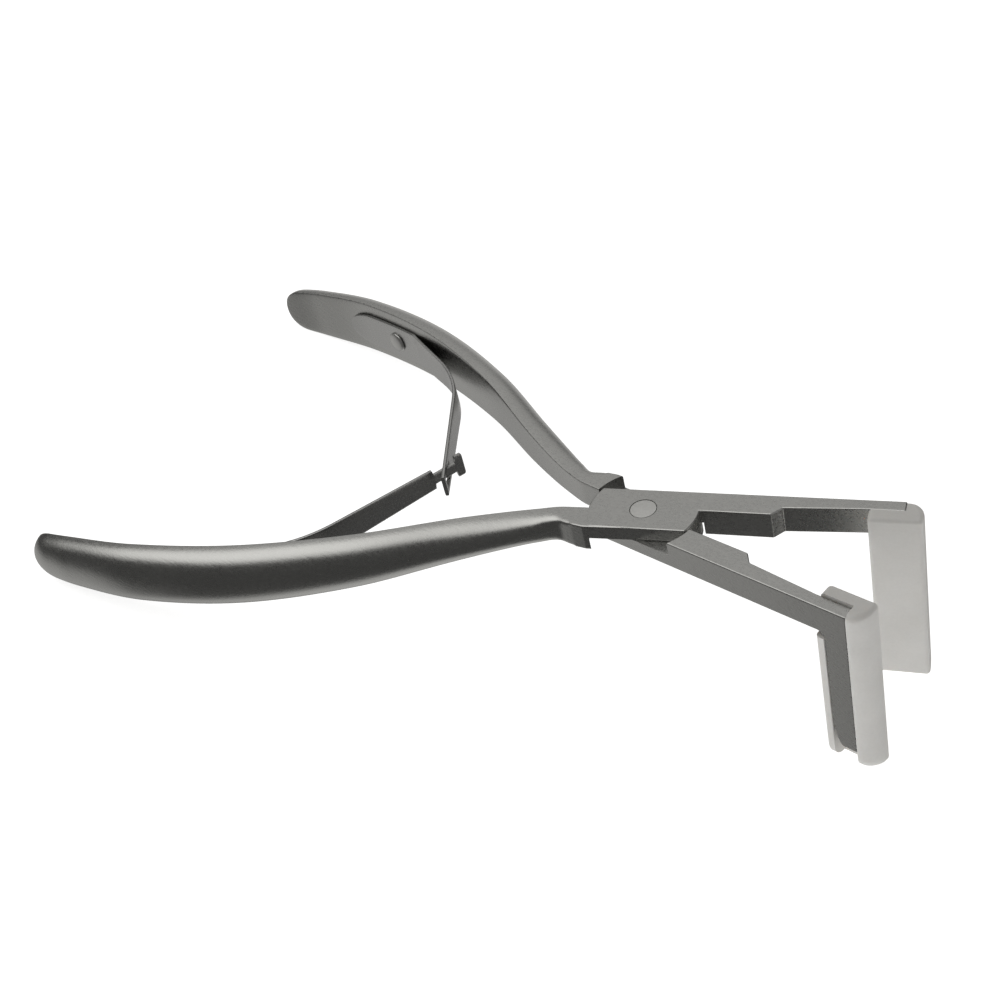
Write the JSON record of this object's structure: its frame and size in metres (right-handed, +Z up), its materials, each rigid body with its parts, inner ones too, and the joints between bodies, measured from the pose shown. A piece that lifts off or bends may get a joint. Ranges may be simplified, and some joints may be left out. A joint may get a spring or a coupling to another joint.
{
  "type": "pressing pliers",
  "caption": "Hand pliers with a riveted lap joint, arched handles sprung apart by crossed leaf springs, and jaw arms with hanging bars that carry soft flat pressing sleeves",
  "frame": {"origin": "centre of the footprint on the table, at the lowest point", "axes": "+X from the handles to the jaws, +Z up, +Y towards the side of the upper lever's jaw; the pliers rest on both handle ends and the sleeve feet, so the pivot axis leans back in the XZ plane"},
  "size_m": [0.1762, 0.1008, 0.042],
  "materials": {
    "upper_lever_steel": "satin brushed stainless steel",
    "lower_lever_steel": "satin brushed stainless steel",
    "rivet_steel": "turned and lightly polished steel",
    "leaf_steel": "rolled spring steel, satin",
    "sleeve_plastic": "smooth soft white plastic, slightly translucent"
  },
  "bodies": {
    "upper_half": {"upper_lever": "upper_lever_steel", "pivot_rivet": "rivet_steel", "tee_leaf_rivet": "rivet_steel", "upper_lever_sleeve": "sleeve_plastic"},
    "lower_half": {"lower_lever": "lower_lever_steel", "slotted_leaf_rivet": "rivet_steel", "lower_lever_sleeve": "sleeve_plastic"},
    "tee_leaf_arm": {"tee_leaf": "leaf_steel"},
    "slotted_leaf_arm": {"slotted_leaf": "leaf_steel"}
  },
  "joints": [
    {"name": "closing", "type": "hinge", "parent": "upper_half", "child": "lower_half", "pos_m": [0.03088, 0, 0.02843], "axis": [-0.1967, 0, 0.9805], "range_deg": [0, 24.4], "stiffness_Nm_per_rad": 1.2, "springref_deg": -8.59},
    {"name": "tee_leaf_flex", "type": "hinge", "parent": "upper_half", "child": "tee_leaf_arm", "pos_m": [-0.04532, -0.03849, 0.01315], "axis": [-0.1967, 0, 0.9805], "range_deg": [-15.5, 0], "deforming": ["tee_leaf"]},
    {"name": "slotted_leaf_flex", "type": "hinge", "parent": "lower_half", "child": "slotted_leaf_arm", "pos_m": [-0.04532, 0.03849, 0.01315], "axis": [-0.1967, 0, 0.9805], "range_deg": [0, 15.5], "deforming": ["slotted_leaf"]}
  ],
  "couplings": [
    {"joint": "tee_leaf_flex", "follows": "closing", "ratio": -0.61},
    {"joint": "slotted_leaf_flex", "follows": "closing", "ratio": 0.61}
  ]
}
